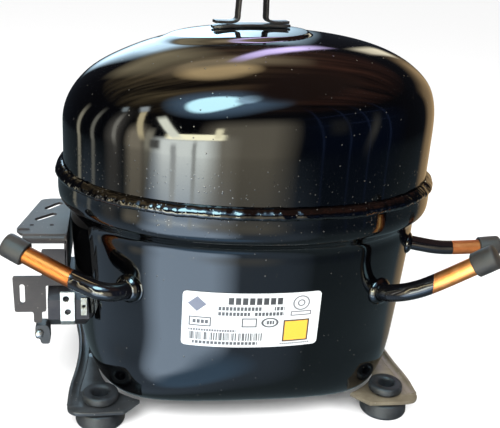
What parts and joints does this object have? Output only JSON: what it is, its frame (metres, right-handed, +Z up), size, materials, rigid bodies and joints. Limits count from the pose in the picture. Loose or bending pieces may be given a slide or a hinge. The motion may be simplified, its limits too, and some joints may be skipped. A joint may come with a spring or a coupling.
{
  "type": "hermetic reciprocating compressor",
  "caption": "Sealed refrigeration compressor: a welded steel shell on rubber feet holds a sprung motor, crankshaft, piston and valves; plugged copper tubes lead out.",
  "frame": {"origin": "centre of the bottom of the bounding box, on the surface that the rubber feet stand on", "axes": "+Z up along the crankshaft, +X along the shell's long axis towards the suction tube and the cylinder, +Y towards the back, away from the rating label"},
  "size_m": [0.2812, 0.177, 0.2304],
  "materials": {
    "enamel": "glossy black baked enamel",
    "copper": "drawn copper, satin, browned by brazing heat",
    "rubber": "matte moulded rubber",
    "steel": "ground and hardened steel",
    "zinc": "bright zinc plated sheet",
    "iron": "grey iron casting",
    "lamination": "stacked electrical steel, blued",
    "aluminium": "pressure die cast",
    "winding": "enamelled copper wire, laced and varnished",
    "plastic": "moulded black thermoplastic",
    "pale_plastic": "moulded pale thermoplastic",
    "label": null
  },
  "bodies": {
    "shell": {"upper_shell": "enamel", "lower_shell": "enamel", "seam_weld": "enamel", "top_strap": "enamel", "top_ear_left": "enamel", "top_ear_right": "enamel", "foot_plate_left": "enamel", "foot_plate_right": "enamel", "grommet_front_left": "rubber", "grommet_front_right": "rubber", "grommet_rear_left": "rubber", "grommet_rear_right": "rubber", "discharge_stub": "copper", "discharge_collar": "enamel", "suction_stub": "copper", "suction_collar": "enamel", "process_stub": "copper", "process_collar": "enamel", "rating_label": "label", "terminal_bracket": "enamel", "terminal_fence": "enamel", "fence_strap": "zinc", "earth_tab": "zinc", "cover_clip": "plastic", "clip_screw": "zinc", "terminal_body": "steel", "terminal_pin_1": "steel", "terminal_pin_2": "steel", "terminal_pin_3": "steel", "lead_connector": "pale_plastic"},
    "pump": {"stator_core": "lamination", "winding_lower": "winding", "winding_upper": "winding", "stator_bolt_1": "steel", "stator_bolt_2": "steel", "stator_bolt_3": "steel", "stator_bolt_4": "steel", "spring_1": "steel", "spring_2": "steel", "spring_3": "steel", "spring_4": "steel", "cylinder_block": "iron", "valve_plate": "steel", "cylinder_head": "iron", "suction_muffler": "plastic", "discharge_line": "copper"},
    "crankshaft": {"crankshaft": "iron", "rotor_core": "lamination", "rotor_ring_lower": "aluminium", "rotor_ring_upper": "aluminium", "oil_pickup": "steel"},
    "piston": {"piston": "iron", "wrist_pin": "steel"},
    "rod": {"connecting_rod": "aluminium", "crank_pin": "iron"},
    "suction_reed": {"suction_reed": "steel"},
    "discharge_reed": {"discharge_reed": "steel"},
    "discharge_plug": {"discharge_plug": "rubber"},
    "suction_plug": {"suction_plug": "rubber"},
    "process_plug": {"process_plug": "rubber"}
  },
  "joints": [
    {"name": "pump_bounce", "type": "slide", "parent": "shell", "child": "pump", "axis": [0, 0, 1], "range_m": [-0.0025, 0.0025], "stiffness_N_per_m": 20000, "springref_m": 0.0042, "deforming": ["spring_1", "spring_2", "spring_3", "spring_4", "discharge_line"]},
    {"name": "crank_turn", "type": "hinge", "parent": "pump", "child": "crankshaft", "pos_m": [-0.00643, 0.00683, 0.1], "axis": [0, 0, 1], "continuous": true},
    {"name": "piston_slide", "type": "slide", "parent": "pump", "child": "piston", "axis": [1, 0, 0], "range_m": [-0.024, 0]},
    {"name": "rod_swing", "type": "hinge", "parent": "piston", "child": "rod", "pos_m": [0.05157, 0.00683, 0.152], "axis": [0, 0, 1], "range_deg": [-15.1, 15.1]},
    {"name": "suction_reed_flex", "type": "hinge", "parent": "pump", "child": "suction_reed", "pos_m": [0.06747, 0.00683, 0.142], "axis": [0, -1, 0], "range_deg": [0, 3], "stiffness_Nm_per_rad": 0.005},
    {"name": "discharge_reed_flex", "type": "hinge", "parent": "pump", "child": "discharge_reed", "pos_m": [0.07097, -0.00016, 0.142], "axis": [0, 1, 0], "range_deg": [0, 3], "stiffness_Nm_per_rad": 0.005},
    {"name": "discharge_plug_pull", "type": "slide", "parent": "shell", "child": "discharge_plug", "axis": [-0.8614, 0.3445, 0.3733], "range_m": [0, 0.012]},
    {"name": "suction_plug_pull", "type": "slide", "parent": "shell", "child": "suction_plug", "axis": [0.6841, -0.389, 0.617], "range_m": [0, 0.012]},
    {"name": "process_plug_pull", "type": "slide", "parent": "shell", "child": "process_plug", "axis": [0.9899, -0.0848, 0.1132], "range_m": [0, 0.012]}
  ]
}
